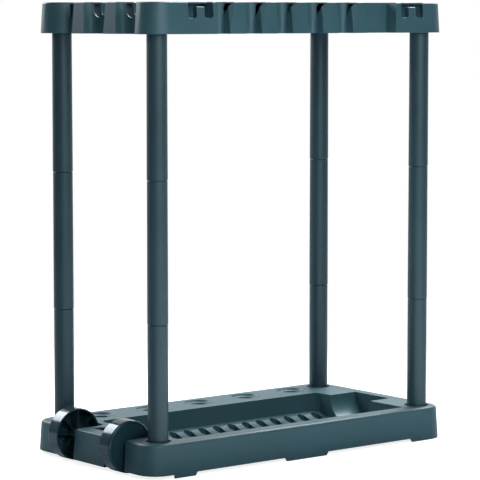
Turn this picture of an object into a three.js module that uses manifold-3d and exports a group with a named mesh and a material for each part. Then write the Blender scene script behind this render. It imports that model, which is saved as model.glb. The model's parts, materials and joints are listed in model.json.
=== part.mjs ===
// Freestanding garden tool rack: a moulded base tray with two transport wheels, four legs of three
// push-fit tube sections each, and a moulded top rack with handle notches and hanging hooks.
// Millimetres, +Z up. +X runs along the long side away from the wheels, and the front of the rack faces
// -Y. The pieces are drawn about the middle of the four legs on the floor, and the finished group is
// moved along X so that the origin lies under the middle of the whole rack.

import * as THREE from "three";
import { mergeVertices } from "three/addons/utils/BufferGeometryUtils.js";
import Module from "manifold-3d";

const wasm = await Module();
wasm.setup();

// Fits and small values that every piece shares
const fitGap = 0.3; // clearance between two pieces that touch on the real object
const overrun = 2; // how far a cutting solid runs past the face that it opens
const wall = 3; // wall thickness of both mouldings
const tubeSides = 16; // facets round a leg section
const roundSides = 20; // facets round a cup, a socket or the axle
const bossSides = 10; // facets round the hidden outside of a socket or a cup
const wheelSides = 32; // facets round a wheel
const cornerSteps = 5; // facets in a quarter turn of an outline
const smallSteps = 3; // the same for a small radius
const filletSteps = 2; // facets in a rounded top edge

// Leg sections
const legInset = 36.6; // leg axis to the rack's outline, at each side and end
const sectionCount = 3;
const sectionLength = 239.7; // shoulder to bottom edge of one section
const sectionRadiusLow = 17.5;
const sectionRadiusHigh = 17.1;
const sectionWall = 2.6;
const sectionLip = 1.2; // rounding of both ends of the visible sleeve
const spigotLength = 24;
const spigotLead = 1.5;
const spigotWall = 2.2;
const shoulderLength = 6; // how far inside the sleeve the wall thickens to carry the spigot

// Base tray, the outside
const trayLeftMargin = 44; // leg axis to the tray's wheel end
const trayRightMargin = 38; // leg axis to its other end
const traySideMargin = 39.2; // leg axis to its long sides
const trayCornerRadius = 36;
const trayHeight = 58.8;
const trayDraft = 3.8; // how much narrower the top is, each side
const trayRimFillet = 5;
const skirtClearance = 6.1; // the skirt's lower edge above the floor
const footDepth = 12; // thickness of the feet, front to back
const footSlope = 5.5; // run of a foot's slanted end
const footMiddleHalfLength = 44.5;
const footLeftInset = 50.2; // tray's wheel end to the first foot
const footLeftLength = 43.3;
const footRightLength = 82.9; // the last foot runs on to the tray's end

// Base tray, back platform with its cups
const platformFrontY = 80;
const platformWallLean = 3;
const cupCount = 5;
const cupPitch = 110;
const cupY = 132;
const cupMouthRadius = 27.5;
const cupThroatRadius = 18.3;
const cupFloorRadius = 17;
const cupBowlDepth = 5; // shallow bowl round the throat
const cupBowlSteps = 2;
const cupDepth = 42;

// Base tray, front trough with its slats
const troughLeftGap = 13; // wheel bays to the trough
const troughAxisY = -25; // its lowest line
const troughFrontWidth = 119; // lowest line to the front rim
const troughDepth = 44.5;
const troughFrontRadius = 8; // plan radii of its corners
const troughBackRadius = 16;
const troughEndLean = 2;
const ledgeHeight = 25; // flat ledge at the foot of the platform's front wall
const ledgeWidth = 10.5;
const slotCount = 14;
const slotPitch = 33.2;
const slotWidth = 16.5;
const slotEndGap = 23; // middle of the last slot to the trough's end
const slotFrontY = -108;
const slotDepth = 9;
const slotRadius = 6;
const slotSteps = 1;
const slotFloorSteps = 2;

// Base tray, right-hand cradle between the two right legs
const cradleEndGap = 28.5; // tray's end to the cradle
const cradleLength = 62;
const cradleAxisY = -1.2;
const cradleBackWidth = 43.2;
const cradleFrontWidth = 54.2;
const cradleBlockShift = 14; // the block in front of the cradle starts this much further from the wheels

// Base tray, leg sockets
const socketMouthRadius = 21.8;
const socketMouthDepth = 9;
const socketDepth = 44.9;

// Wheels, axle and the bays that hold them
const wheelRadius = 44.8;
const wheelWidth = 29;
const wheelTread = 3;
const wheelEdge = 1.5;
const wheelLipWidth = 3;
const wheelLipDepth = 2;
const wheelDish = 1.5; // how far the disc sinks towards its middle
const wheelDisc = 2.6;
const wheelHubRadius = 9;
const wheelHubRecess = 1.5; // the hub stops this far inside the open side
const wheelRibCount = 8;
const wheelRib = 1.6;
const wheelRibRecess = 4;
const wheelRibTurnShare = 0.1; // turn of the first rib, as a share of the step between ribs
const wheelFloorGap = 0.4; // the wheels hang just clear of the floor while the rack stands on its feet
const axleRadius = 4;
const axleInset = 18.5; // tray's wheel end to the axle
const axleSnapLip = 0.7; // how far each lip of a slot reaches under the axle
const axleEndLength = 6; // what of the axle stands inside a corner block's wall
const wheelUnitY = -3.6; // middle of the wheel block
const wheelBlockWidth = 93.5;
const wheelBlockReach = 4.5; // how far it stands out of the tray's end
const wheelInnerGap = 15.5; // wheel block to the wheel's open side
const wheelOuterGap = 5.5; // wheel's disc to the corner block
const bayEndGap = 3.2; // wheel to the bay's end
const bayInnerRadius = 16; // plan radii of a bay's end
const bayOuterRadius = 4;
const pocketInset = 28.5; // tray's wheel end to the pocket in the wheel block
const pocketWidth = 19;
const pocketLength = 66;
const pocketDepth = 30;

// Top rack, the outside
const rackHalfLength = 330.1;
const rackHalfDepth = 174;
const rackHeight = 53;
const rackDraft = 3.2;
const rackFillet = 3;
const fingerSetback = 9.3; // front fingers behind the corner blocks' faces
const sideFingerSetback = 6.2; // the same at both short sides
const cornerBlockLeftEndX = -193.3;
const cornerBlockRightEndX = 204;

// Top rack, notches in the long sides
const notchCount = 5;
const notchPitch = 68.3;
const notchFirstX = -177.1;
const notchWidth = 33;
const notchDepth = 24.8;
const notchRadius = 8;
const notchFlare = 7.5; // each finger's front corner towards the wheels is cut back this far at the top
const notchFlareFoot = 0.5; // and this far at the bottom
const recessLeftX = 142.7;
const recessDepth = 17;
const windowDepth = 22; // the fingers' side windows run this far back
const windowTopGap = 2;
const cutFloor = 26.5; // depth of the windows, side cuts and hook slots below the rack's top

// Top rack, notches in the short sides
const sideNotchCount = 3;
const sideNotchPitch = 92;
const sideNotchWidth = 56;
const sideNotchDepth = 20.5;
const sideNotchRadius = 12;
const sideCutWidth = 54;
const sideCutRadius = 14.5;

// Top rack, tray inside the ring
const ringWidth = 38; // finger face to the tray
const panDepth = 21;
const panRadius = 12;

// Top rack, hooks and leg sockets
const hookPostX = [-228.4, 245];
const hookPostWidth = 16.6;
const hookSlotWidth = 18;
const hookSlotChamfer = 3.5;
const hookPostDrop = 8; // the post's top below the rack's top
const hookGap = 16; // opening behind the post
const hookRibDepth = 18;
const rackBossWall = 3.2;

// Values that follow from the ones above
const legX = rackHalfLength - legInset;
const legY = rackHalfDepth - legInset;
const trayLeftX = -legX - trayLeftMargin;
const trayRightX = legX + trayRightMargin;
const trayHalfDepth = legY + traySideMargin;
const axleX = trayLeftX + axleInset;
const bayRightX = axleX + wheelRadius + bayEndGap;
const wheelBlockLeftX = trayLeftX - wheelBlockReach;
const pocketX = [trayLeftX + pocketInset, trayLeftX + pocketInset + pocketWidth];
const cradleRightX = trayRightX - cradleEndGap;
const troughLeftX = bayRightX + troughLeftGap;
const troughRightX = cradleRightX - cradleLength;
const troughFrontY = troughAxisY - troughFrontWidth;
const ledgeFrontY = platformFrontY - platformWallLean - ledgeWidth;
const socketFloorZ = trayHeight - socketDepth;
const legBottomZ = socketFloorZ + fitGap;
const sectionPitch = sectionLength + fitGap;
const rackBottomZ = legBottomZ + sectionCount * sectionPitch;
const rackTopZ = rackBottomZ + rackHeight;
const boreRadius = sectionRadiusLow - sectionWall;
// A facet's distance from the axis, as a share of its corners' radius
const flatShare = Math.cos(Math.PI / roundSides);
const tubeFlatShare = Math.cos(Math.PI / tubeSides);
const spigotRadius = boreRadius * tubeFlatShare - fitGap;
const axleZ = wheelRadius + wheelFloorGap;
const bayHalfSpan = wheelBlockWidth / 2 + wheelInnerGap + wheelWidth + wheelOuterGap;
const wheelOffset = wheelBlockWidth / 2 + wheelInnerGap + wheelWidth / 2;
const cutFloorZ = rackTopZ - cutFloor;
const panFloorZ = rackTopZ - panDepth;
const sign = [-1, 1];

// Solids and outlines

function solidOf(geometry) {
  const bare = geometry.clone();
  bare.deleteAttribute("normal");
  bare.deleteAttribute("uv");
  const merged = mergeVertices(bare);
  return new wasm.Manifold(
    new wasm.Mesh({
      numProp: 3,
      vertProperties: new Float32Array(merged.attributes.position.array),
      triVerts: new Uint32Array(merged.index.array),
    }),
  );
}

function joined(solids) {
  return solids.reduce((sum, next) => sum.add(next));
}

function box(x, y, z) {
  const size = [x, y, z].map(([low, high]) => high - low);
  const middle = [x, y, z].map(([low, high]) => (low + high) / 2);
  return solidOf(new THREE.BoxGeometry(...size).translate(...middle));
}

// A round solid about a vertical axis: pairs of radius and height, from the lowest to the highest.
function turned(pairs, x, y, sides = roundSides) {
  const profile = [[0, pairs[0][1]], ...pairs, [0, pairs.at(-1)[1]]];
  const points = profile.map(([radius, height]) => new THREE.Vector2(radius, height));
  const lathe = new THREE.LatheGeometry(points, sides);
  return solidOf(lathe.rotateX(Math.PI / 2).translate(x, y, 0));
}

// A rectangle with round corners, anticlockwise from the front left corner. A radius of zero is a corner.
function roundedRectangle(x, y, radii, steps = cornerSteps) {
  const corners = [
    [x[0], y[0], 1, 1, Math.PI],
    [x[1], y[0], -1, 1, 1.5 * Math.PI],
    [x[1], y[1], -1, -1, 0],
    [x[0], y[1], 1, -1, 0.5 * Math.PI],
  ];
  return corners.flatMap(([cornerX, cornerY, inX, inY, start], index) => {
    const radius = radii[index];
    if (radius === 0) return [new THREE.Vector2(cornerX, cornerY)];
    return Array.from({ length: steps + 1 }, (_, step) => {
      const angle = start + (0.5 * Math.PI * step) / steps;
      return new THREE.Vector2(
        cornerX + inX * radius + radius * Math.cos(angle),
        cornerY + inY * radius + radius * Math.sin(angle),
      );
    });
  });
}

// Moves every side of an anticlockwise outline inwards by one distance.
function inset(outline, distance) {
  return outline.map((point, index) => {
    const before = outline.at(index - 1);
    const after = outline[(index + 1) % outline.length];
    const first = point.clone().sub(before).normalize();
    const second = after.clone().sub(point).normalize();
    const normalA = new THREE.Vector2(first.y, -first.x);
    const normalB = new THREE.Vector2(second.y, -second.x);
    const turn = normalA.clone().add(normalB).divideScalar(1 + normalA.dot(normalB));
    return point.clone().addScaledVector(turn, -distance);
  });
}

// Skins outlines of equal point count that lie one above the other.
function loft(levels) {
  const count = levels[0].outline.length;
  const positions = levels.flatMap(({ outline, z }) => outline.flatMap(({ x, y }) => [x, y, z]));
  const index = [];
  for (let level = 1; level < levels.length; level += 1) {
    const low = (level - 1) * count;
    const high = level * count;
    for (let side = 0; side < count; side += 1) {
      const next = (side + 1) % count;
      index.push(low + side, low + next, high + next, low + side, high + next, high + side);
    }
  }
  const last = (levels.length - 1) * count;
  for (const [a, b, c] of THREE.ShapeUtils.triangulateShape(levels[0].outline, [])) index.push(a, c, b);
  for (const [a, b, c] of THREE.ShapeUtils.triangulateShape(levels.at(-1).outline, []))
    index.push(last + a, last + b, last + c);
  const geometry = new THREE.BufferGeometry();
  geometry.setAttribute("position", new THREE.Float32BufferAttribute(positions, 3));
  geometry.setIndex(index);
  return solidOf(geometry);
}

// A block whose sides lean in by draft between z[0] and z[1], with a rounded top edge if fillet isn't zero.
function draftedBlock(outline, z, draft, fillet) {
  const lean = (height) => (draft * (height - z[0])) / (z[1] - z[0]);
  const levels = [{ outline, z: z[0] }];
  if (fillet === 0) levels.push({ outline: inset(outline, draft), z: z[1] });
  else
    for (let step = 0; step <= filletSteps; step += 1) {
      const angle = (0.5 * Math.PI * step) / filletSteps;
      const height = z[1] - fillet + fillet * Math.sin(angle);
      levels.push({
        outline: inset(outline, lean(height) + fillet * (1 - Math.cos(angle))),
        z: height,
      });
    }
  return loft(levels);
}

// A shape drawn in Y and Z, run along X.
function alongX(shape, x, steps = cornerSteps) {
  const geometry = new THREE.ExtrudeGeometry(shape, {
    depth: x[1] - x[0],
    bevelEnabled: false,
    curveSegments: steps,
  });
  const turn = new THREE.Matrix4().makeBasis(
    new THREE.Vector3(0, 1, 0),
    new THREE.Vector3(0, 0, 1),
    new THREE.Vector3(1, 0, 0),
  );
  return solidOf(geometry.applyMatrix4(turn).translate(x[0], 0, 0));
}

// A shape drawn in X and Z, run along Y.
function alongY(shape, y) {
  const geometry = new THREE.ExtrudeGeometry(shape, {
    depth: y[1] - y[0],
    bevelEnabled: false,
    curveSegments: cornerSteps,
  });
  return solidOf(geometry.rotateX(Math.PI / 2).translate(0, y[1], 0));
}

// Points on an ellipse from one angle to another, both ends included
function ellipseArc(centre, radii, from, to, steps = cornerSteps) {
  return Array.from({ length: steps + 1 }, (_, step) => {
    const angle = from + ((to - from) * step) / steps;
    return [centre[0] + radii[0] * Math.cos(angle), centre[1] + radii[1] * Math.sin(angle)];
  });
}

function polygon(points) {
  return new THREE.Shape(points.map(([a, b]) => new THREE.Vector2(a, b)));
}

function named(name, solid, material) {
  const { numProp, vertProperties, triVerts } = solid.getMesh();
  const geometry = new THREE.BufferGeometry();
  geometry.setAttribute("position", new THREE.Float32BufferAttribute(vertProperties, numProp));
  geometry.setIndex(new THREE.BufferAttribute(triVerts, 1));
  geometry.computeVertexNormals();
  const mesh = new THREE.Mesh(geometry, material);
  mesh.name = name;
  return mesh;
}

// Materials
function surface(color, roughness, metalness) {
  return new THREE.MeshStandardMaterial({ color, roughness, metalness, flatShading: true });
}

const mouldedPlastic = surface("#3c555e", 0.5, 0);
const tubePlastic = surface("#3a4f58", 0.45, 0);
const wheelPlastic = surface("#2b3a42", 0.25, 0);
const axleSteel = surface("#a9adb0", 0.35, 1);

// Leg section: a sleeve with a narrower spigot on top that pushes into the sleeve or socket above
function legSection() {
  const spigotInner = spigotRadius - spigotWall;
  const profile = [
    [boreRadius, 0],
    [sectionRadiusLow - sectionLip, 0],
    [sectionRadiusLow, sectionLip],
    [sectionRadiusHigh, sectionLength - sectionLip],
    [sectionRadiusHigh - sectionLip, sectionLength],
    [spigotRadius, sectionLength],
    [spigotRadius, sectionLength + spigotLength - spigotLead],
    [spigotRadius - spigotLead, sectionLength + spigotLength],
    [spigotInner, sectionLength + spigotLength],
    [spigotInner, sectionLength - shoulderLength],
    [boreRadius, sectionLength - 2 * shoulderLength],
    [boreRadius, 0],
  ];
  const points = profile.map(([radius, height]) => new THREE.Vector2(radius, height));
  return solidOf(new THREE.LatheGeometry(points, tubeSides).rotateX(Math.PI / 2));
}

// Base tray

const trayOutline = roundedRectangle(
  [trayLeftX, trayRightX],
  [-trayHalfDepth, trayHalfDepth],
  Array(4).fill(trayCornerRadius),
);

const legPlaces = sign.flatMap((sideY) =>
  sign.map((sideX) => [sideX * legX, sideY * legY]),
);

const cupPlaces = Array.from({ length: cupCount }, (_, index) => [
  (index - (cupCount - 1) / 2) * cupPitch,
  cupY,
]);

// The trough's section: a quarter ellipse at the front, a flat bottom as far as the cradle's axis, a
// shallow rise to the ledge, and the platform's leaning wall. A grown section is the trough's skin, seen
// from below.
function troughSection(grow, top, steps = cornerSteps) {
  const floorZ = trayHeight - troughDepth - grow;
  const wallFoot = platformFrontY - platformWallLean + grow;
  return polygon([
    [troughFrontY - grow, top],
    ...ellipseArc(
      [troughAxisY, trayHeight],
      [troughFrontWidth + grow, troughDepth + grow],
      Math.PI,
      1.5 * Math.PI,
      steps,
    ),
    ...ellipseArc(
      [cradleAxisY, ledgeHeight - grow],
      [ledgeFrontY - cradleAxisY, ledgeHeight - grow - floorZ],
      1.5 * Math.PI,
      2 * Math.PI,
      slotFloorSteps,
    ),
    [wallFoot, ledgeHeight - grow],
    [platformFrontY + grow, trayHeight],
    [platformFrontY + grow, top],
  ]);
}

// The trough seen from above: a long rectangle with round corners, and its front half runs on to the
// block in front of the cradle. Its ends lean.
function troughPlan(grow) {
  const y = [troughFrontY - overrun, platformFrontY + overrun];
  const outlines = [
    roundedRectangle(
      [troughLeftX, troughRightX],
      y,
      [troughFrontRadius, 0, troughBackRadius, troughBackRadius],
      smallSteps,
    ),
    roundedRectangle(
      [troughLeftX + troughFrontRadius, troughRightX + cradleBlockShift],
      [y[0], cradleAxisY],
      [0, troughFrontRadius, 0, 0],
      smallSteps,
    ),
  ];
  const z = [-overrun, trayHeight + overrun];
  return joined(
    outlines.map((outline) => draftedBlock(inset(outline, troughEndLean - grow), z, -troughEndLean, 0)),
  );
}

function trough(grow) {
  const x = [troughLeftX - grow - overrun, troughRightX + cradleBlockShift + grow + overrun];
  return alongX(troughSection(grow, trayHeight + overrun), x).intersect(troughPlan(grow));
}

// Blind slots between the trough's bars, with floors that follow the trough's own curve
function slots(grow) {
  const prisms = Array.from({ length: slotCount }, (_, index) => {
    const x = troughRightX - slotEndGap - index * slotPitch;
    const half = slotWidth / 2 + grow;
    const outline = roundedRectangle(
      [x - half, x + half],
      [slotFrontY - grow, ledgeFrontY + grow],
      grow > 0 ? Array(4).fill(0) : [0, 0, slotRadius, slotRadius],
      slotSteps,
    );
    return draftedBlock(outline, [-overrun, trayHeight], 0, 0);
  });
  const section = troughSection(slotDepth + grow, trayHeight + overrun, slotFloorSteps);
  return alongX(section, [troughLeftX, troughRightX]).intersect(joined(prisms));
}

function cradle(grow) {
  const depth = troughDepth + grow;
  const top = trayHeight + overrun;
  const front = ellipseArc(
    [cradleAxisY, trayHeight],
    [cradleFrontWidth + grow, depth],
    Math.PI,
    1.5 * Math.PI,
  );
  const back = ellipseArc(
    [cradleAxisY, trayHeight],
    [cradleBackWidth + grow, depth],
    1.5 * Math.PI,
    2 * Math.PI,
  );
  const section = polygon([
    [cradleAxisY - cradleFrontWidth - grow, top],
    ...front,
    ...back.slice(1),
    [cradleAxisY + cradleBackWidth + grow, top],
  ]);
  return alongX(section, [troughRightX - troughEndLean - overrun, cradleRightX + grow]);
}

// A bay for one wheel, open at the tray's end
function bay(side, grow) {
  const inner = wheelUnitY + (side * wheelBlockWidth) / 2;
  const outer = wheelUnitY + side * bayHalfSpan;
  const radii = [0, bayInnerRadius, bayOuterRadius, 0];
  const outline = roundedRectangle(
    [wheelBlockLeftX - overrun, bayRightX],
    side > 0 ? [inner, outer] : [outer, inner],
    side > 0 ? radii : radii.toReversed(),
    smallSteps,
  );
  return draftedBlock(inset(outline, -grow), [-overrun, trayHeight + overrun], 0, 0);
}

function pocket(grow) {
  return box(
    [pocketX[0] - grow, pocketX[1] + grow],
    [wheelUnitY - pocketLength / 2 - grow, wheelUnitY + pocketLength / 2 + grow],
    [trayHeight - pocketDepth - grow, trayHeight + overrun],
  );
}

// A cup's bowl, from the throat up to the mouth: a quarter ellipse, steep at the mouth
function cupBowl() {
  return Array.from({ length: cupBowlSteps + 1 }, (_, step) => {
    const angle = (0.5 * Math.PI * step) / cupBowlSteps;
    const reach = cupMouthRadius - cupThroatRadius;
    return [
      cupThroatRadius + reach * Math.sin(angle),
      trayHeight - cupBowlDepth * Math.cos(angle),
    ];
  });
}

// A foot drawn in X and Z: an end with a slope of zero is upright.
function footShape(x, slopes) {
  return polygon([
    [x[0], -overrun],
    [x[1], -overrun],
    [x[1], 0],
    [x[1] + slopes[1], skirtClearance + overrun],
    [x[0] - slopes[0], skirtClearance + overrun],
    [x[0], 0],
  ]);
}

function trayFeet() {
  const beyond = trayRightX + overrun;
  const rows = [
    [[trayLeftX + footLeftInset, trayLeftX + footLeftInset + footLeftLength], [0, footSlope]],
    [[-footMiddleHalfLength, footMiddleHalfLength], [footSlope, footSlope]],
    [[trayRightX - footRightLength, beyond], [footSlope, 0]],
  ];
  const edge = trayHalfDepth + overrun;
  const inner = trayHalfDepth - footDepth;
  const feet = rows.flatMap(([x, slopes]) => [
    alongY(footShape(x, slopes), [-edge, -inner]),
    alongY(footShape(x, slopes), [inner, edge]),
  ]);
  const corner = [-overrun, skirtClearance + overrun];
  for (const side of sign) {
    const low = side * (trayHalfDepth - footDepth - trayCornerRadius);
    const high = side * edge;
    feet.push(
      box([trayRightX - footDepth, beyond], [Math.min(low, high), Math.max(low, high)], corner),
    );
  }
  return joined(feet);
}

function axleSlot() {
  const span = [wheelUnitY - bayHalfSpan - axleEndLength, wheelUnitY + bayHalfSpan + axleEndLength];
  const holeRadius = (axleRadius + fitGap) / flatShare;
  const hole = solidOf(
    new THREE.CylinderGeometry(holeRadius, holeRadius, span[1] - span[0], roundSides).translate(
      axleX,
      (span[0] + span[1]) / 2,
      axleZ,
    ),
  );
  const mouth = axleRadius - axleSnapLip;
  return hole.add(box([axleX - mouth, axleX + mouth], span, [-overrun, axleZ]));
}

function baseTray() {
  const above = trayHeight + overrun;
  const blockY = [wheelUnitY - wheelBlockWidth / 2, wheelUnitY + wheelBlockWidth / 2];
  const body = draftedBlock(trayOutline, [0, trayHeight], trayDraft, trayRimFillet);
  const wheelBlock = draftedBlock(
    roundedRectangle([wheelBlockLeftX, bayRightX + overrun], blockY, Array(4).fill(0)),
    [0, trayHeight],
    trayDraft,
    0,
  );
  const skirt = box(
    [wheelBlockLeftX - overrun, trayRightX + overrun],
    [-trayHalfDepth - overrun, trayHalfDepth + overrun],
    [-overrun, skirtClearance],
  )
    .subtract(trayFeet())
    .subtract(slots(wall));

  // What stays solid inside the shell: skins of the hollows and the bosses round cups and sockets
  const skins = [
    slots(wall),
    trough(wall),
    cradle(wall),
    bay(-1, wall),
    bay(1, wall),
    pocket(wall),
    ...cupPlaces.map(([x, y]) =>
      turned(
        [
          [cupThroatRadius + wall, trayHeight - cupDepth - wall],
          [cupThroatRadius + wall, trayHeight - cupBowlDepth - wall],
          [cupMouthRadius + wall, trayHeight - cupBowlDepth - wall],
          [cupMouthRadius + wall, above],
        ],
        x,
        y,
        bossSides,
      ),
    ),
    ...legPlaces.map(([x, y]) =>
      turned(
        [
          [socketMouthRadius + wall, skirtClearance],
          [socketMouthRadius + wall, above],
        ],
        x,
        y,
        bossSides,
      ),
    ),
  ];
  const shellOutline = inset(trayOutline, wall);
  const hollow = draftedBlock(shellOutline, [-overrun, trayHeight - wall], trayDraft, 0)
    .add(
      box(
        [wheelBlockLeftX + wall + trayDraft, bayRightX],
        [blockY[0] + wall, blockY[1] - wall],
        [-overrun, trayHeight - wall],
      ),
    )
    .subtract(joined(skins));

  const snugRadius = (sectionRadiusLow + fitGap) / flatShare;
  const hollows = [
    trough(0),
    cradle(0),
    bay(-1, 0),
    bay(1, 0),
    pocket(0),
    ...cupPlaces.map(([x, y]) =>
      turned(
        [[cupFloorRadius, trayHeight - cupDepth], ...cupBowl(), [cupMouthRadius, above]],
        x,
        y,
      ),
    ),
    ...legPlaces.map(([x, y]) =>
      turned(
        [
          [snugRadius, socketFloorZ],
          [snugRadius, trayHeight - socketMouthDepth],
          [socketMouthRadius, trayHeight - socketMouthDepth],
          [socketMouthRadius, above],
        ],
        x,
        y,
      ),
    ),
    slots(0),
    axleSlot(),
  ];
  return body.add(wheelBlock).subtract(skirt).subtract(hollow).subtract(joined(hollows));
}

// Top rack

// The corners are round about the leg axes.
const rackOutline = roundedRectangle(
  [-rackHalfLength, rackHalfLength],
  [-rackHalfDepth, rackHalfDepth],
  Array(4).fill(legInset),
);

// A cut from outside whose walls lean with the rack's draft, wider at the top. A grown cut is the skin
// round it.
function leaningCut(outline, grow, zHigh) {
  const z = [rackBottomZ - overrun, zHigh];
  return draftedBlock(inset(outline, -grow), z, -rackDraft, 0);
}

// The notches of the front side: each outline is mirrored for the back.
function longSideOutlines() {
  const mouthY = -rackHalfDepth - overrun - wall;
  const faceY = -rackHalfDepth + fingerSetback;
  const strip = roundedRectangle(
    [cornerBlockLeftEndX, cornerBlockRightEndX],
    [mouthY, faceY],
    Array(4).fill(0),
  );
  const notches = Array.from({ length: notchCount }, (_, index) => {
    const x = notchFirstX + index * notchPitch;
    const half = notchWidth / 2;
    const floorY = faceY + notchDepth;
    const radii = [0, 0, notchRadius, notchRadius];
    return roundedRectangle([x - half, x + half], [mouthY, floorY], radii, smallSteps);
  });
  const recess = roundedRectangle(
    [recessLeftX, cornerBlockRightEndX],
    [mouthY, faceY + recessDepth],
    Array(4).fill(0),
  );
  return [strip, ...notches, recess];
}

// Slanted cuts at the notches' right front corners, triangles seen from above that grow upwards
function notchFlares(grow) {
  const mouthY = -rackHalfDepth + fingerSetback - overrun;
  const level = (z) => {
    const rise = (z - rackBottomZ) / rackHeight;
    const lean = rackDraft * rise;
    const reach = notchFlareFoot + (notchFlare - notchFlareFoot) * rise + grow * Math.SQRT2;
    const faceY = -rackHalfDepth + fingerSetback + lean;
    return { z, wallX: notchWidth / 2 + lean, cornerY: faceY + reach };
  };
  const flares = Array.from({ length: notchCount }, (_, index) => {
    const x = notchFirstX + index * notchPitch;
    const levels = [rackBottomZ - overrun, rackTopZ + overrun].map((height) => {
      const { z, wallX, cornerY } = level(height);
      const corners = [
        [x + wallX - overrun, mouthY],
        [x + wallX + cornerY - mouthY, mouthY],
        [x + wallX - overrun, cornerY + overrun],
      ];
      return { z, outline: corners.map(([a, b]) => new THREE.Vector2(a, b)) };
    });
    return loft(levels);
  });
  return joined(flares);
}

function shortSideOutlines() {
  const mouthX = -rackHalfLength - overrun - wall;
  const faceX = -rackHalfLength + sideFingerSetback;
  const strip = roundedRectangle(
    [mouthX, faceX],
    [-legY, legY],
    Array(4).fill(0),
  );
  const notches = sideNotchPlaces.map((y) =>
    roundedRectangle(
      [mouthX, faceX + sideNotchDepth],
      [y - sideNotchWidth / 2, y + sideNotchWidth / 2],
      [0, sideNotchRadius, sideNotchRadius, 0],
      smallSteps,
    ),
  );
  return [strip, ...notches];
}

const sideNotchPlaces = Array.from(
  { length: sideNotchCount },
  (_, index) => (index - (sideNotchCount - 1) / 2) * sideNotchPitch,
);

function mirroredPair(solid, axis) {
  const plane = axis === "x" ? [1, 0, 0] : [0, 1, 0];
  return solid.add(solid.mirror(plane));
}

// At a short side the corner block is a round column about the leg, which reaches into the end notches.
function columns(grow) {
  const profile = [rackBottomZ - 2 * overrun, rackTopZ + 2 * overrun].map((z) => [
    legInset - grow - (rackDraft * (z - rackBottomZ)) / rackHeight,
    z,
  ]);
  return joined(legPlaces.map(([x, y]) => turned(profile, x, y)));
}

function perimeterCuts(grow, zHigh) {
  const long = longSideOutlines().map((outline) => leaningCut(outline, grow, zHigh));
  const short = shortSideOutlines().map((outline) => leaningCut(outline, grow, zHigh));
  const sides = mirroredPair(joined(short), "x").subtract(columns(grow));
  return mirroredPair(joined(long).add(notchFlares(grow)), "y").add(sides);
}

// Triangular windows in the fingers' side walls, in one run along X behind the finger faces
function fingerWindows() {
  const faceY = -rackHalfDepth + fingerSetback;
  const top = rackTopZ - windowTopGap;
  const shape = polygon([
    [faceY + wall + rackDraft, top],
    [faceY + windowDepth, cutFloorZ],
    [faceY + windowDepth, top],
  ]);
  const lastFinger = notchFirstX + (notchCount - 1) * notchPitch + notchWidth / 2;
  const end = lastFinger + wall + rackDraft + overrun;
  return mirroredPair(alongX(shape, [cornerBlockLeftEndX, end]), "y");
}

// Cuts with a round-cornered floor through the ring's short sides, open at the top. The columns stay whole.
function sideCuts() {
  const outerX = -rackHalfLength - overrun;
  const innerX = -rackHalfLength + sideFingerSetback + ringWidth + overrun;
  const cuts = sideNotchPlaces.map((y) => {
    const half = sideCutWidth / 2;
    const top = rackTopZ + overrun;
    const shape = new THREE.Shape();
    shape.moveTo(y - half, top);
    shape.lineTo(y - half, cutFloorZ + sideCutRadius);
    const middleZ = cutFloorZ + sideCutRadius;
    shape.absarc(y - half + sideCutRadius, middleZ, sideCutRadius, Math.PI, 1.5 * Math.PI);
    shape.absarc(y + half - sideCutRadius, middleZ, sideCutRadius, 1.5 * Math.PI, 2 * Math.PI);
    shape.lineTo(y + half, top);
    return alongX(shape, [outerX, innerX], smallSteps);
  });
  return mirroredPair(joined(cuts), "x").subtract(columns(0));
}

// A hook: two slots with chamfered lower corners on both sides of a post, and an opening behind the post
function hookCuts() {
  const top = rackTopZ + overrun;
  const face = [-rackHalfDepth - overrun, -rackHalfDepth + rackDraft + wall + overrun];
  const cuts = hookPostX.flatMap((postX) => {
    const slots = sign.map((side) => {
      const near = postX + (side * hookPostWidth) / 2;
      const far = near + side * hookSlotWidth;
      const low = Math.min(near, far);
      const high = Math.max(near, far);
      const shape = polygon([
        [low, cutFloorZ + hookSlotChamfer],
        [low + hookSlotChamfer, cutFloorZ],
        [high - hookSlotChamfer, cutFloorZ],
        [high, cutFloorZ + hookSlotChamfer],
        [high, top],
        [low, top],
      ]);
      return alongY(shape, face);
    });
    const span = hookPostWidth / 2 + hookSlotWidth;
    const opening = box(
      [postX - span, postX + span],
      [-rackHalfDepth - overrun, -rackHalfDepth + rackDraft + hookGap],
      [rackTopZ - hookPostDrop, top],
    );
    return [...slots, opening];
  });
  return mirroredPair(joined(cuts), "y");
}

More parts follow.
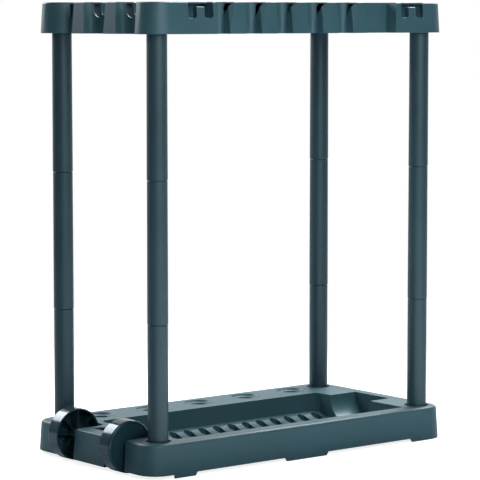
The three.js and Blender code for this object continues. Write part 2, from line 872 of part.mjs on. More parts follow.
function topRack() {
  const body = draftedBlock(rackOutline, [rackBottomZ, rackTopZ], rackDraft, rackFillet);
  const panOutline = roundedRectangle(
    [-rackHalfLength + sideFingerSetback + ringWidth, rackHalfLength - sideFingerSetback - ringWidth],
    [-rackHalfDepth + fingerSetback + ringWidth, rackHalfDepth - fingerSetback - ringWidth],
    Array(4).fill(panRadius),
    smallSteps,
  );
  const pan = (grow, floor, top = rackTopZ + overrun) =>
    draftedBlock(inset(panOutline, -grow), [floor, top], 0, 0);
  // The pan's walls run down past the floors of the cuts, which open no way under the pan.
  const skirtZ = cutFloorZ - wall;
  const panSkirt = pan(wall, skirtZ).subtract(pan(0, skirtZ - overrun));
  const bossRadius = boreRadius + rackBossWall;
  const bosses = legPlaces.map(([x, y]) =>
    turned(
      [
        [bossRadius, rackBottomZ],
        [bossRadius, rackTopZ],
      ],
      x,
      y,
      bossSides,
    ),
  );
  const ribs = hookPostX.map((postX) =>
    box(
      [postX - wall / 2, postX + wall / 2],
      [-rackHalfDepth, -rackHalfDepth + rackDraft + hookRibDepth],
      [rackBottomZ, rackTopZ - hookPostDrop],
    ),
  );
  const keep = joined([
    perimeterCuts(wall, rackTopZ + overrun),
    pan(wall, panFloorZ - wall),
    panSkirt,
    ...bosses,
    mirroredPair(joined(ribs), "y"),
  ]);
  const hollow = draftedBlock(
    inset(rackOutline, wall),
    [rackBottomZ - overrun, rackTopZ - wall],
    rackDraft,
    0,
  ).subtract(keep);
  const bores = legPlaces.map(([x, y]) =>
    turned(
      [
        [boreRadius, rackBottomZ - overrun],
        [boreRadius, rackBottomZ + spigotLength + fitGap],
      ],
      x,
      y,
    ),
  );
  return body
    .subtract(hollow)
    .subtract(perimeterCuts(0, rackTopZ + overrun))
    .subtract(pan(0, panFloorZ))
    .subtract(fingerWindows())
    .subtract(sideCuts().subtract(pan(wall, skirtZ, panFloorZ)))
    .subtract(hookCuts())
    .subtract(joined(bores));
}

// Wheel about the Y axis, its closed disc towards +Y and its ribbed hollow towards -Y
function wheel() {
  const half = wheelWidth / 2;
  const bore = (axleRadius + fitGap) / Math.cos(Math.PI / wheelSides);
  const discOuter = half - wheelLipDepth;
  const discInner = discOuter - wheelDisc - wheelDish;
  const treadInner = wheelRadius - wheelTread;
  const profile = [
    [bore, discOuter - wheelDish],
    [bore, -half + wheelHubRecess],
    [wheelHubRadius, -half + wheelHubRecess],
    [wheelHubRadius, discInner],
    [treadInner, discInner + wheelDish],
    [treadInner, -half],
    [wheelRadius - wheelEdge, -half],
    [wheelRadius, -half + wheelEdge],
    [wheelRadius, half - wheelEdge],
    [wheelRadius - wheelEdge, half],
    [wheelRadius - wheelEdge - wheelLipWidth, half],
    [wheelRadius - wheelEdge - wheelLipWidth, discOuter],
    [bore, discOuter - wheelDish],
  ];
  const points = profile.map(([radius, height]) => new THREE.Vector2(radius, height));
  const shell = solidOf(new THREE.LatheGeometry(points, wheelSides));
  const ribSpan = [(wheelHubRadius + bore) / 2, wheelRadius - wheelTread / 2];
  const step = (2 * Math.PI) / wheelRibCount;
  const ribs = Array.from({ length: wheelRibCount }, (_, index) => {
    const rib = new THREE.BoxGeometry(
      ribSpan[1] - ribSpan[0],
      discInner + wheelDish + half - wheelRibRecess,
      wheelRib,
    );
    rib.translate((ribSpan[0] + ribSpan[1]) / 2, (discInner + wheelDish - half + wheelRibRecess) / 2, 0);
    rib.rotateY(-step * (index + wheelRibTurnShare));
    return solidOf(rib);
  });
  return shell.add(joined(ribs));
}

function axle() {
  const length = 2 * (bayHalfSpan + axleEndLength - fitGap);
  return new THREE.CylinderGeometry(axleRadius, axleRadius, length, roundSides);
}

// The scene graph
const rack = new THREE.Group();
rack.name = "garden_tool_rack";
const centred = new THREE.Group();
centred.position.x = (wheelRadius - axleX - Math.max(trayRightX, rackHalfLength)) / 2;
rack.add(centred);

centred.add(named("base_tray", baseTray(), mouldedPlastic));

const section = legSection();
const levels = ["lower", "middle", "upper"];
const legNames = ["front_left", "front_right", "back_left", "back_right"];
legPlaces.forEach(([x, y], leg) => {
  const legGroup = new THREE.Group();
  legGroup.position.set(x, y, legBottomZ);
  levels.forEach((level, index) => {
    const tube = named(`${legNames[leg]}_${level}_tube`, section, tubePlastic);
    tube.position.z = index * sectionPitch;
    legGroup.add(tube);
  });
  centred.add(legGroup);
});

centred.add(named("top_rack", topRack(), mouldedPlastic));

const wheelUnit = new THREE.Group();
wheelUnit.position.set(axleX, wheelUnitY, axleZ);
const wheelAxle = new THREE.Mesh(axle(), axleSteel);
wheelAxle.name = "wheel_axle";
const rearWheel = named("rear_wheel", wheel(), wheelPlastic);
rearWheel.position.y = wheelOffset;
const frontWheel = named("front_wheel", wheel(), wheelPlastic);
frontWheel.position.y = -wheelOffset;
frontWheel.rotation.z = Math.PI;
wheelUnit.add(wheelAxle, rearWheel, frontWheel);
centred.add(wheelUnit);

export default rack;
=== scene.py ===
# %% [markdown]
# # A freestanding rack for garden tools
#
# The rack has two mouldings, a base tray and a top rack, and four legs of three push-fit tube
# sections. Two wheels at the left end let it roll when the right end is lifted. The CAD model
# gives every size and place. This script gives each piece its rounded edges, its fine form and
# its plastic or steel.

# %% Load the CAD model
import json
import math

import bmesh
import bpy
from mathutils import Matrix, Vector

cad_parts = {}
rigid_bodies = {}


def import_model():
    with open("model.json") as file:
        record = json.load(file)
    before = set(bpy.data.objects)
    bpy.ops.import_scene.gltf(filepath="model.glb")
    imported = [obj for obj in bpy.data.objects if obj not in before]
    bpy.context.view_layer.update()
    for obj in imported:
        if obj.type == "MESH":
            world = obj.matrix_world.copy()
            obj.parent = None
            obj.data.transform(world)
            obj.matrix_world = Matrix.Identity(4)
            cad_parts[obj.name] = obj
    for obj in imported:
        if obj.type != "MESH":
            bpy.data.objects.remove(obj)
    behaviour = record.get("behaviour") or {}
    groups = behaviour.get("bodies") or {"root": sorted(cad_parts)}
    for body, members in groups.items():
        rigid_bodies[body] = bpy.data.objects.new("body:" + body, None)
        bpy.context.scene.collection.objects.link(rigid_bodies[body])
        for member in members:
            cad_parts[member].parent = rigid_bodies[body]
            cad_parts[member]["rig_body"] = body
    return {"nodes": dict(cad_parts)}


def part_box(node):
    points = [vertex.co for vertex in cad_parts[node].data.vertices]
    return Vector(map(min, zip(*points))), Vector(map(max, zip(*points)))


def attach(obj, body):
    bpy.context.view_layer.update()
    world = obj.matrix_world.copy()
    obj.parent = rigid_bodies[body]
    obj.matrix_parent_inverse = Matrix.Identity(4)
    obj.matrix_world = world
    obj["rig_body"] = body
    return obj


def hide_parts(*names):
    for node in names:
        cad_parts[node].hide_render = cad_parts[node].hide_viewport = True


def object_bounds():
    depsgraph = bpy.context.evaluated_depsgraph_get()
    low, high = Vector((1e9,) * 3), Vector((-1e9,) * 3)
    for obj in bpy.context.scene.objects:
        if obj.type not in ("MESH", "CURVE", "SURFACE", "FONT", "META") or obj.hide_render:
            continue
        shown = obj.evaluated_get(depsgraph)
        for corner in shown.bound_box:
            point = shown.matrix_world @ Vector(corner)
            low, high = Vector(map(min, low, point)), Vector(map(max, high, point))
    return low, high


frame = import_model()
cad_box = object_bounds()
MM = 0.001
print("CAD box in millimetres:", [round(c / MM, 1) for corner in cad_box for c in corner])

# %% [markdown]
# ## The camera
#
# The photograph was taken from a long way off, so the legs look almost parallel. The camera
# could be placed by eye, but lines on the object fix it better: the four legs and the two long
# edges give both angles, the distance and the long lens.

# %% Camera
camera_data = bpy.data.cameras.new("photo_camera")
camera_data.sensor_width = 36
camera_data.lens = 176.0
camera_data.clip_end = 50
camera = bpy.data.objects.new("photo_camera", camera_data)
camera.location = (-2586.3 * MM, -3236.8 * MM, 767.1 * MM)
camera_yaw, camera_pitch = 0.6756, 0.0960
camera.rotation_euler = (math.pi / 2 - camera_pitch, 0, -camera_yaw)
bpy.context.scene.collection.objects.link(camera)
bpy.context.scene.camera = camera
print("camera lens in millimetres:", camera_data.lens)

# %% [markdown]
# ## Nodes of a material
#
# A material is a small graph. One function adds a node, sets its values and links its inputs.
# An input goes by its name on the node, or by its number, such as i0, where names repeat.
# Another function turns a colour as it is written on a screen (sRGB) to the linear numbers that
# light is added in.


# %% Helpers for materials
def linear(hex_colour):
    channels = [int(hex_colour[i : i + 2], 16) / 255 for i in (1, 3, 5)]
    return [c / 12.92 if c <= 0.04045 else ((c + 0.055) / 1.055) ** 2.4 for c in channels] + [1]


def add_node(tree, kind, settings=None, **inputs):
    node = tree.nodes.new(kind)
    for name, value in (settings or {}).items():
        setattr(node, name, value)
    for name, value in inputs.items():
        key = int(name[1:]) if name[0] == "i" and name[1:].isdigit() else name.replace("_", " ")
        if isinstance(value, bpy.types.NodeSocket):
            tree.links.new(value, node.inputs[key])
        else:
            node.inputs[key].default_value = value
    return node


def new_material(name):
    material = bpy.data.materials.new(name)
    material.use_nodes = True
    material.node_tree.nodes.clear()
    return material, material.node_tree


# %% [markdown]
# ## Moulded polypropylene
#
# Garden mouldings are injected polypropylene. Where the mould is spark eroded it leaves a very
# fine grain, so the surface is satin: it has no mirror image, but at a low angle it turns pale
# with the light behind it. Where the mould is polished, as for the wheels, the plastic mirrors
# the room. A picture of plastic could be wrapped round each piece, but noise on Object
# coordinates needs no unwrapping and shows no seam. The real grain is about 0.1 mm, too fine to
# show here, so it is drawn at about 1 mm. The colour varies a little from place to place where
# the melt flowed, over about 90 mm.


# %% Moulded plastic
flow_mm = 90
colour_spread, roughness_spread = 0.06, 0.03


def moulded_plastic(name, colour, roughness, grain_mm, grain_height_mm, mirror_tint):
    material, tree = new_material(name)
    place = add_node(tree, "ShaderNodeTexCoord").outputs["Object"]
    flow = add_node(
        tree, "ShaderNodeTexNoise", Vector=place, Scale=1 / (flow_mm * MM), Detail=3.0
    )
    grain = add_node(
        tree, "ShaderNodeTexNoise", Vector=place, Scale=1 / (grain_mm * MM), Detail=2.0
    )
    shade = add_node(tree, "ShaderNodeValToRGB", Fac=flow.outputs["Fac"])
    darker, lighter = shade.color_ramp.elements
    darker.position, lighter.position = 0.35, 0.65
    base = linear(colour)[:3]
    darker.color = [c * (1 - colour_spread) for c in base] + [1]
    lighter.color = [min(c * (1 + colour_spread), 1) for c in base] + [1]
    gloss = add_node(
        tree,
        "ShaderNodeMapRange",
        Value=flow.outputs["Fac"],
        From_Min=0.3,
        From_Max=0.7,
        To_Min=roughness - roughness_spread,
        To_Max=roughness + roughness_spread,
    )
    bump = add_node(
        tree,
        "ShaderNodeBump",
        Height=grain.outputs["Fac"],
        Distance=grain_height_mm * MM,
        Strength=0.6,
    )
    shader = add_node(
        tree,
        "ShaderNodeBsdfPrincipled",
        Base_Color=shade.outputs["Color"],
        Roughness=gloss.outputs["Result"],
        IOR=1.49,
        Specular_Tint=linear(mirror_tint),
        Normal=bump.outputs["Normal"],
    )
    add_node(tree, "ShaderNodeOutputMaterial", Surface=shader.outputs["BSDF"])
    return material


satin_polypropylene = moulded_plastic(
    "satin_polypropylene", "#2b4951", 0.46, 1.2, 0.02, "#d8eefa"
)
tube_polypropylene = moulded_plastic("tube_polypropylene", "#22373d", 0.4, 1.0, 0.015, "#d8eefa")
gloss_polypropylene = moulded_plastic(
    "gloss_polypropylene", "#1a3139", 0.14, 1.5, 0.004, "#c0dcf6"
)
plastics = (satin_polypropylene, tube_polypropylene, gloss_polypropylene)
print("plastics:", [plastic.name for plastic in plastics])

# %% [markdown]
# ## Drawn steel
#
# The axle is a bright drawn rod. Drawing pulls the metal along its length, so its fine lines run
# that way and the light on it is drawn out into a long streak. A brushed metal could also be
# made with the shader's anisotropy, which needs a direction on the surface. Stretched noise
# needs only the place: its lines are about 0.6 mm apart and fifty times as long.

# %% Axle steel
line_mm, line_stretch = 0.6, 0.02
drawn_steel, steel_tree = new_material("drawn_steel")
steel_place = add_node(steel_tree, "ShaderNodeTexCoord").outputs["Object"]
steel_along = add_node(
    steel_tree, "ShaderNodeMapping", Vector=steel_place, Scale=(1.0, line_stretch, 1.0)
)
steel_lines = add_node(
    steel_tree,
    "ShaderNodeTexNoise",
    Vector=steel_along.outputs["Vector"],
    Scale=1 / (line_mm * MM),
    Detail=2.0,
)
steel_gloss = add_node(
    steel_tree,
    "ShaderNodeMapRange",
    Value=steel_lines.outputs["Fac"],
    To_Min=0.22,
    To_Max=0.42,
)
steel_shader = add_node(
    steel_tree,
    "ShaderNodeBsdfPrincipled",
    Base_Color=linear("#a9adb0"),
    Metallic=1.0,
    Roughness=steel_gloss.outputs["Result"],
)
add_node(steel_tree, "ShaderNodeOutputMaterial", Surface=steel_shader.outputs["BSDF"])
print("metal:", drawn_steel.name)

# %% [markdown]
# ## A piece and its shading
#
# Each piece is one object that stands for a CAD node and moves with that node's body. Plain
# smooth shading would bend the light across flat faces too. So the normals are weighted by the
# size of the faces: large flat faces look flat, and the narrow faces of a rounded edge carry
# the whole turn of the light.


# %% Helpers for pieces
def add_piece(name, mesh, nodes, material):
    piece = bpy.data.objects.new(name, mesh)
    bpy.context.scene.collection.objects.link(piece)
    mesh.materials.clear()
    mesh.materials.append(material)
    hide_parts(*nodes)
    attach(piece, frame["nodes"][nodes[0]]["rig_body"])
    return piece


def weighted_normals(piece):
    modifier = piece.modifiers.new("even_shading", "WEIGHTED_NORMAL")
    modifier.keep_sharp = True


def mesh_of(work, name):
    mesh = bpy.data.meshes.new(name)
    work.to_mesh(mesh)
    work.free()
    mesh.shade_smooth()
    return mesh


# %% [markdown]
# ## How round an edge may be
#
# Both mouldings keep the CAD shape. It could be rounded by one bevel of one width, but a hollow
# moulding has wide rims beside short facets, and a bevel that is wider than the face beside it
# turns that face inside out. So each edge gets its own radius. It takes at most a share of the
# room up to the next corner, and it changes only gradually where edges meet.

# %% Room beside an edge
curve_turn = 5  # degrees: an edge that turns less lies in a smooth surface
most_room = 4  # times the edge's own length
least_slant = 0.3  # of a neighbour across the edge; the others run on along it


def turn_of(edge):
    return math.degrees(edge.calc_face_angle_signed(0)) if len(edge.link_faces) == 2 else 0


def room_beside(edge):
    along = (edge.verts[1].co - edge.verts[0].co).normalized()
    room = edge.calc_length() * most_room
    for vert in edge.verts:
        for other in vert.link_edges:
            if other == edge or abs(turn_of(other)) < curve_turn:
                continue
            side = other.other_vert(vert).co - vert.co
            across = side.cross(along).length
            if across > least_slant * side.length:
                room = min(room, across)
    return room / MM


# %% Radii that change gradually
taper_passes = 40
taper_slope = 0.4  # millimetres of radius for each millimetre of edge
straight_bend = 0.03  # sine of the angle below which two edges are one line


def taper(radii, verts):
    for _ in range(taper_passes):
        for vert in verts:
            meeting = [edge for edge in vert.link_edges if edge in radii]
            if len(meeting) < 2:
                continue
            least = min(meeting, key=radii.get)
            toward = least.other_vert(vert).co - vert.co
            for edge in meeting:
                away = edge.other_vert(vert).co - vert.co
                shorter = min(toward.length, away.length) / MM
                bend = away.cross(toward).length / (away.length * toward.length)
                if edge != least and bend > straight_bend:
                    limit = radii[least] + taper_slope * bend * shorter
                    radii[edge] = min(radii[edge], limit)


# %% [markdown]
# ## From a CAD mesh to a finished moulding
#
# The CAD mesh comes in as loose triangles with sharp edges, so a copy is merged and its flat
# areas are made one face each. A Bevel modifier then rounds the edges as the steel mould would,
# because a rounded edge is what catches the light. Each edge's radius is written on the edge
# itself, as a weight from nothing to the modifier's full width. The outer rim is known by its
# place: one of its faces points up, and it lies near the side of the box.

# %% Helpers for mouldings
widest_mm = 2.5
least_mm = 0.08
corner_turn = 35  # degrees: an edge that turns less is a facet of a curve and stays as it is


def merged_copy(node):
    work = bmesh.new()
    work.from_mesh(frame["nodes"][node].data)
    bmesh.ops.remove_doubles(work, verts=work.verts, dist=0.01 * MM)
    bmesh.ops.dissolve_limit(
        work,
        angle_limit=math.radians(0.5),
        use_dissolve_boundaries=False,
        verts=work.verts,
        edges=work.edges,
    )
    return work


def round_edges(work, radius_of):
    weights = work.edges.layers.float.new("bevel_weight_edge")
    radii = {}
    for edge in work.edges:
        turn = turn_of(edge)
        if abs(turn) < corner_turn:
            continue
        middle = (edge.verts[0].co + edge.verts[1].co) / (2 * MM)
        sides = [face.normal for face in edge.link_faces]
        radius, share = radius_of(middle, turn, sides)
        radii[edge] = min(radius, share * room_beside(edge))
    taper(radii, work.verts)
    for edge, radius in radii.items():
        edge.smooth = radius > least_mm
        if edge.smooth:
            edge[weights] = min(radius / widest_mm, 1)
    return sum(edge.smooth for edge in radii)


def moulded_piece(node, radius_of):
    work = merged_copy(node)
    rounded = round_edges(work, radius_of)
    mesh = mesh_of(work, node + "_moulding")
    piece = add_piece(node + "_moulding", mesh, [node], satin_polypropylene)
    bevel = piece.modifiers.new("rounded_edges", "BEVEL")
    bevel.width = widest_mm * MM
    bevel.segments = 3
    bevel.limit_method = "WEIGHT"
    bevel.use_clamp_overlap = False
    bevel.loop_slide = False
    weighted_normals(piece)
    print(node, "faces:", len(mesh.polygons), "rounded edges:", rounded)


# %% Which edges are the outer rim
upward_least = 0.7  # upward part of a normal: a face with less is not facing up
rim_reach = 0.85  # of the way from the middle to the CAD box's side


def faces_up(sides):
    return max(side.z for side in sides) > upward_least


def on_outer_rim(middle, sides):
    wall = min(sides, key=lambda side: abs(side.z))
    across = 1 if abs(wall.y) > abs(wall.x) else 0
    reach = rim_reach * cad_box[1][across] / MM
    return faces_up(sides) and wall[across] * middle[across] > 0 and abs(middle[across]) > reach


# %% [markdown]
# ## Base tray
#
# The tray is one hollow moulding: a skirt on low feet, a platform with five cups for handles, a
# slatted trough, and a block between the two wheels. It could be modelled again from blocks, but
# its CAD mesh already has all these forms, so only its edges are worked on. The outer rim is the
# roundest edge, because that is where hands hold it. Inside corners and the slats stay crisp.
# Each pair of numbers is a radius in millimetres and the share of the room beside the edge that
# it may take.

# %% Base tray
inside_corner = (0.4, 0.3)
tray_rim, tray_corner = (2.2, 0.6), (0.8, 0.4)
slat_top_mm = 35  # below this height lie the slats and the feet


def tray_radius(middle, turn, sides):
    if turn < 0 or middle.z < slat_top_mm:
        return inside_corner
    return tray_rim if on_outer_rim(middle, sides) else tray_corner


moulded_piece("base_tray", tray_radius)

# %% [markdown]
# ## Top rack
#
# The rack is the finest moulding: hollow fingers with slanting faces stand between the notches
# that hold the handles, and each corner block has two hook slots. It is rounded in the tray's
# way, because one rule for each kind of edge does for hundreds of them. The edges that face up
# below the rack's top, such as the hook slots' seats, are nearly as round as the outer rim:
# tools hang and rub there, and a rounder edge catches a brighter line of light.

# %% Top rack
rack_rim, rack_corner, rack_seat = (1.7, 0.4), (0.7, 0.4), (1.6, 0.5)
seat_below_top_mm = 5


def rack_radius(middle, turn, sides):
    if turn < 0:
        return inside_corner
    if middle.z < cad_box[1].z / MM - seat_below_top_mm and faces_up(sides):
        return rack_seat
    return rack_rim if on_outer_rim(middle, sides) else rack_corner


moulded_piece("top_rack", rack_radius)

# %% [markdown]
# ## Turned shapes
#
# A leg section and a wheel are round about one line. Each starts as a section: a ring of corners
# with a radius, a height and a rounding, in millimetres. The corners are bevelled while the
# section is still a bare outline, and one full spin makes it a solid.

# %% Helpers for turned shapes
crease_turn = 32  # degrees


def spun(corners, steps):
    work = bmesh.new()
    ring = [work.verts.new((radius * MM, 0, height * MM)) for radius, height, _ in corners]
    for first, second in zip(ring, ring[1:] + ring[:1]):
        work.edges.new((first, second))
    for rounding in sorted({corner[2] for corner in corners} - {0}):
        chosen = [vert for vert, corner in zip(ring, corners) if corner[2] == rounding]
        bmesh.ops.bevel(
            work,
            geom=chosen,
            offset=rounding * MM,
            segments=4,
            profile=0.5,
            affect="VERTICES",
            material=-1,
        )
    bmesh.ops.spin(
        work,
        geom=work.verts[:] + work.edges[:],
        cent=(0, 0, 0),
        axis=(0, 0, 1),
        angle=2 * math.pi,
        steps=steps,
        use_merge=True,
    )
    bmesh.ops.remove_doubles(work, verts=work.verts, dist=0.01 * MM)
    bmesh.ops.recalc_face_normals(work, faces=work.faces)
    return work


def creased_mesh(work, name):
    mesh = mesh_of(work, name)
    mesh.set_sharp_from_angle(angle=math.radians(crease_turn))
    return mesh


def middle_of(node):
    low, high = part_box(node)
    return [(a + b) / 2 for a, b in zip(low, high)], low, high


# %% [markdown]
# ## Legs
#
# Each leg is three equal sleeves of extruded plastic with a narrower spigot on top, pushed into
# one another. A sleeve could be a cylinder with a smaller one on it, but one spun section gives
# the sleeve, its bore and its spigot as a single closed wall. A sleeve's radius shrinks by less
# than half a millimetre upwards, and both its ends are a little rounded, so each joint shows as
# a fine dark line.

# %% Leg sections
section_length, spigot_length = 239.7, 24
sleeve_low, sleeve_high, sleeve_rounding = 17.5, 17.1, 1.2
bore, spigot, spigot_wall, spigot_rounding = 14.9, 14.3, 2.2, 1.2
shoulder_low, shoulder_high = section_length - 12, section_length - 6
spigot_inner, spigot_top = spigot - spigot_wall, section_length + spigot_length

section_corners = [
    (bore, 0, 0),
    (sleeve_low, 0, sleeve_rounding),
    (sleeve_high, section_length, sleeve_rounding),
    (spigot, section_length, 0),
    (spigot, spigot_top, spigot_rounding),
    (spigot_inner, spigot_top, 0),
    (spigot_inner, shoulder_high, 0),
    (bore, shoulder_low, 0),
]

leg_nodes = sorted(node for node in frame["nodes"] if node.endswith("_tube"))
for node in leg_nodes:
    middle, low, _ = middle_of(node)
    work = spun(section_corners, 64)
    bmesh.ops.translate(work, verts=work.verts, vec=(middle[0], middle[1], low[2]))
    mesh = creased_mesh(work, node + "_sleeve")
    piece = add_piece(node + "_sleeve", mesh, [node], tube_polypropylene)
    weighted_normals(piece)
print("leg sections:", len(leg_nodes))

# %% [markdown]
# ## Wheels
#
# Each wheel is one glossy moulding. The outer side is closed by a slightly dished disc behind a
# raised rim, and the tread rolls over into that rim with a soft shoulder. The inner side is
# hollow, with eight thin ribs from the hub to the tread. Hub, disc, rim and tread are round
# about the axle, so one section gives them all. The ribs aren't, and could be cut out of the
# solid, but plain bars that run into the hub and the tread look the same and stay simple.

# %% Wheel section
wheel_radius, wheel_width = 44.8, 29.0
half_width = wheel_width / 2
hub_radius, axle_hole = 9.0, 4.3
rim_inner, tread_inner = 40.3, 41.8
disc_face = half_width - 2.0
hub_end = 1.5 - half_width

wheel_corners = [
    (axle_hole, disc_face - 1.5, 0),
    (axle_hole, hub_end, 0.4),
    (hub_radius, hub_end, 0.6),
    (hub_radius, disc_face - 4.1, 1.0),
    (tread_inner, disc_face - 2.6, 1.0),
    (tread_inner - 0.3, -half_width, 0.8),
    (wheel_radius, -half_width, 0.8),
    (wheel_radius, half_width, 3.2),
    (rim_inner, half_width, 0.9),
    (rim_inner, disc_face, 0.7),
]
print("wheel corners:", len(wheel_corners))

# %% Ribs of a wheel
rib_count, rib_width, rib_overlap = 8, 1.6, 0.5
rib_turn_share = 0.1  # turn of the first rib, as a share of the step between two
rib_reach = (hub_radius - rib_overlap, tread_inner + rib_overlap)
rib_depth = (4.0 - half_width, disc_face - 3.0)


def add_ribs(work):
    length, depth = rib_reach[1] - rib_reach[0], rib_depth[1] - rib_depth[0]
    place = (sum(rib_reach) / 2 * MM, 0, sum(rib_depth) / 2 * MM)
    for index in range(rib_count):
        made = bmesh.ops.create_cube(work, size=1)["verts"]
        bmesh.ops.scale(work, verts=made, vec=(length * MM, rib_width * MM, depth * MM))
        bmesh.ops.translate(work, verts=made, vec=place)
        angle = 2 * math.pi * (index + rib_turn_share) / rib_count
        bmesh.ops.rotate(work, verts=made, matrix=Matrix.Rotation(angle, 3, "Z"))


# %% Both wheels
for node, outward in (("front_wheel", -1), ("rear_wheel", 1)):
    middle, _, _ = middle_of(node)
    work = spun(wheel_corners, 96)
    add_ribs(work)
    upright = Matrix.Rotation(-outward * math.pi / 2, 3, "X")
    bmesh.ops.rotate(work, verts=work.verts, matrix=upright)
    bmesh.ops.translate(work, verts=work.verts, vec=middle)
    mesh = creased_mesh(work, node + "_moulding")
    piece = add_piece(node + "_moulding", mesh, [node], gloss_polypropylene)
    weighted_normals(piece)
    print(node, "faces:", len(mesh.polygons))

# %% [markdown]
# ## Axle
#
# The axle is a plain rod, cut to length. It has a small chamfer at both ends, so that it slides
# into the wheels without scraping them. A spun section would do here too, but the cone operator
# with two equal radii makes a rod in one step, and its two end rings are easy to pick out.

# %% Axle
chamfer = 0.5
middle, low, high = middle_of("wheel_axle")
rod_radius, rod_length = (high[0] - low[0]) / (2 * MM), (high[1] - low[1]) / MM
work = bmesh.new()
bmesh.ops.create_cone(
    work,
    cap_ends=True,
    segments=32,
    radius1=rod_radius * MM,
    radius2=rod_radius * MM,
    depth=rod_length * MM,
)
rims = [edge for edge in work.edges if abs(edge.verts[0].co.z - edge.verts[1].co.z) < 0.1 * MM]
bmesh.ops.bevel(
    work,
    geom=rims,
    offset=chamfer * MM,
    segments=2,
    profile=0.5,
    affect="EDGES",
    material=-1,
)
bmesh.ops.rotate(work, verts=work.verts, matrix=Matrix.Rotation(math.pi / 2, 3, "X"))
bmesh.ops.translate(work, verts=work.verts, vec=middle)
mesh = creased_mesh(work, "axle_rod")
add_piece("axle_rod", mesh, ["wheel_axle"], drawn_steel)
print("axle radius and length:", round(rod_radius, 2), round(rod_length, 1))

# %% [markdown]
# ## Floor
#
# A product photograph has a white sweep under and behind the object. The camera sees this floor
# as white: most of that is its own glow, and the rest is what it scatters, which carries the
# object's shadow. Further off it is all glow, so that no edge shows between the floor and the
# background. Every other ray meets a plain pale floor, or its white would wash out the colours.

# %% Floor
floor_size = 12
floor_glow_share = 0.84
floor_scatter = (0.45, 0.45, 0.45, 1)
fade_start, fade_end = 0.6, 1.3  # metres from the middle
floor_work = bmesh.new()
bmesh.ops.create_grid(floor_work, x_segments=1, y_segments=1, size=floor_size / 2)
floor_mesh = bpy.data.meshes.new("floor")
floor_work.to_mesh(floor_mesh)
floor_work.free()
floor = bpy.data.objects.new("floor", floor_mesh)
bpy.context.scene.collection.objects.link(floor)
print("floor size in metres:", floor_size)

# %% Look of the floor
floor_material, floor_tree = new_material("pale_floor")
floor_plain = add_node(floor_tree, "ShaderNodeBsdfDiffuse", Color=linear("#aab6be"))
floor_glow = add_node(
    floor_tree, "ShaderNodeEmission", Color=linear("#ffffff"), Strength=floor_glow_share
)
floor_shaded = add_node(floor_tree, "ShaderNodeBsdfDiffuse", Color=floor_scatter)
floor_near = add_node(
    floor_tree, "ShaderNodeAddShader", i0=floor_glow.outputs[0], i1=floor_shaded.outputs[0]
)
floor_far = add_node(floor_tree, "ShaderNodeEmission", Color=linear("#ffffff"), Strength=1.0)
floor_place = add_node(floor_tree, "ShaderNodeTexCoord").outputs["Object"]
floor_reach = add_node(
    floor_tree, "ShaderNodeVectorMath", {"operation": "LENGTH"}, i0=floor_place
)
floor_fade = add_node(
    floor_tree,
    "ShaderNodeMapRange",
    Value=floor_reach.outputs["Value"],
    From_Min=fade_start,
    From_Max=fade_end,
)
floor_white = add_node(
    floor_tree,
    "ShaderNodeMixShader",
    i0=floor_fade.outputs["Result"],
    i1=floor_near.outputs[0],
    i2=floor_far.outputs[0],
)
floor_seen = add_node(floor_tree, "ShaderNodeLightPath").outputs["Is Camera Ray"]
floor_mix = add_node(
    floor_tree,
    "ShaderNodeMixShader",
    i0=floor_seen,
    i1=floor_plain.outputs[0],
    i2=floor_white.outputs[0],
)
add_node(floor_tree, "ShaderNodeOutputMaterial", Surface=floor_mix.outputs[0])
floor_mesh.materials.append(floor_material)
print("floor material:", floor_material.name)

# %% [markdown]
# ## Background
#
# The camera sees white in every direction. Mirror and glass rays see white behind the object
# and a darker room towards the camera's own side, as in a studio, and that gives the glossy
# wheels something dark to mirror. Light that is scattered off the object meets a dim room.

# %% Rays that see the background
world = bpy.data.worlds.new("studio")
bpy.context.scene.world = world
world.use_nodes = True
world_tree = world.node_tree
world_tree.nodes.clear()
world_rays = add_node(world_tree, "ShaderNodeLightPath")
world_camera = world_seen = world_rays.outputs["Is Camera Ray"]
for ray in ("Is Glossy Ray", "Is Transmission Ray"):
    either = add_node(
        world_tree,
        "ShaderNodeMath",
        {"operation": "MAXIMUM"},
        i0=world_seen,
        i1=world_rays.outputs[ray],
    )
    world_seen = either.outputs["Value"]
print("rays that see the background: camera, mirror and glass")

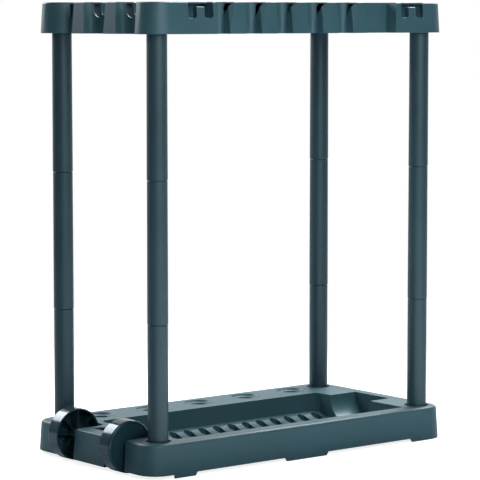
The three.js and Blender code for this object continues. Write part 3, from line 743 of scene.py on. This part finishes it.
# %% Brightness by direction
scattered_strength = 0.2
darkest_mirrored = 0.05
direction = add_node(world_tree, "ShaderNodeTexCoord").outputs["Generated"]
behind = add_node(
    world_tree,
    "ShaderNodeVectorMath",
    {"operation": "DOT_PRODUCT"},
    i0=direction,
    i1=(math.sin(camera_yaw), math.cos(camera_yaw), 0),
)
sweep = add_node(
    world_tree,
    "ShaderNodeMapRange",
    {"interpolation_type": "SMOOTHSTEP"},
    Value=behind.outputs["Value"],
    From_Min=0.0,
    From_Max=0.8,
    To_Min=darkest_mirrored,
    To_Max=1.0,
)
bright = add_node(
    world_tree,
    "ShaderNodeMath",
    {"operation": "MAXIMUM"},
    i0=world_camera,
    i1=sweep.outputs["Result"],
)
dim = add_node(
    world_tree, "ShaderNodeBackground", Color=linear("#ffffff"), Strength=scattered_strength
)
white = add_node(
    world_tree,
    "ShaderNodeBackground",
    Color=linear("#ffffff"),
    Strength=bright.outputs["Value"],
)
world_mix = add_node(
    world_tree, "ShaderNodeMixShader", i0=world_seen, i1=dim.outputs[0], i2=white.outputs[0]
)
add_node(world_tree, "ShaderNodeOutputWorld", Surface=world_mix.outputs[0])
print("background:", world.name)

# %% [markdown]
# ## Lamps
#
# A picture of a studio could light the rack, but large soft lamps can be placed one by one, each
# for one effect. The front lamp gives the broad highlight on each leg, a card on the floor lifts
# the skirt from below, and the back and top lamps draw the pale lines on the rims and the bright
# patches on the wheels' treads. Each lamp is given its place, what it points at, its size in
# metres and its power in watts.


# %% Lamps
def soft_lamp(name, place, target, size, power):
    data = bpy.data.lights.new(name, "AREA")
    data.shape = "RECTANGLE"
    data.size, data.size_y = size
    data.energy = power
    lamp = bpy.data.objects.new(name, data)
    lamp.location = place
    lamp.rotation_euler = (Vector(target) - Vector(place)).to_track_quat("-Z", "Y").to_euler()
    lamp.visible_camera = False
    bpy.context.scene.collection.objects.link(lamp)
    print(name, "watts:", power)


rack_middle = (cad_box[0] + cad_box[1]) / 2
soft_lamp("front_lamp", (-0.5, -2.0, 1.3), (0, 0, 0.6), (1.8, 1.2), 30)
soft_lamp("floor_card", (-0.1, -1.0, 0.01), (-0.1, -1.0, 1), (1.8, 1.2), 16)
soft_lamp("back_lamp", (-0.5, 1.75, 1.6), rack_middle, (1.3, 1.2), 50)
soft_lamp("top_lamp", (1.25, 0.35, 2.3), rack_middle, (1.0, 1.8), 120)

# %% [markdown]
# ## Finish
#
# Colours are shown as they are lit, without a film look. The finished pieces have to stay
# inside the CAD model's box.

# %% Finish
bpy.context.scene.view_settings.view_transform = "Standard"
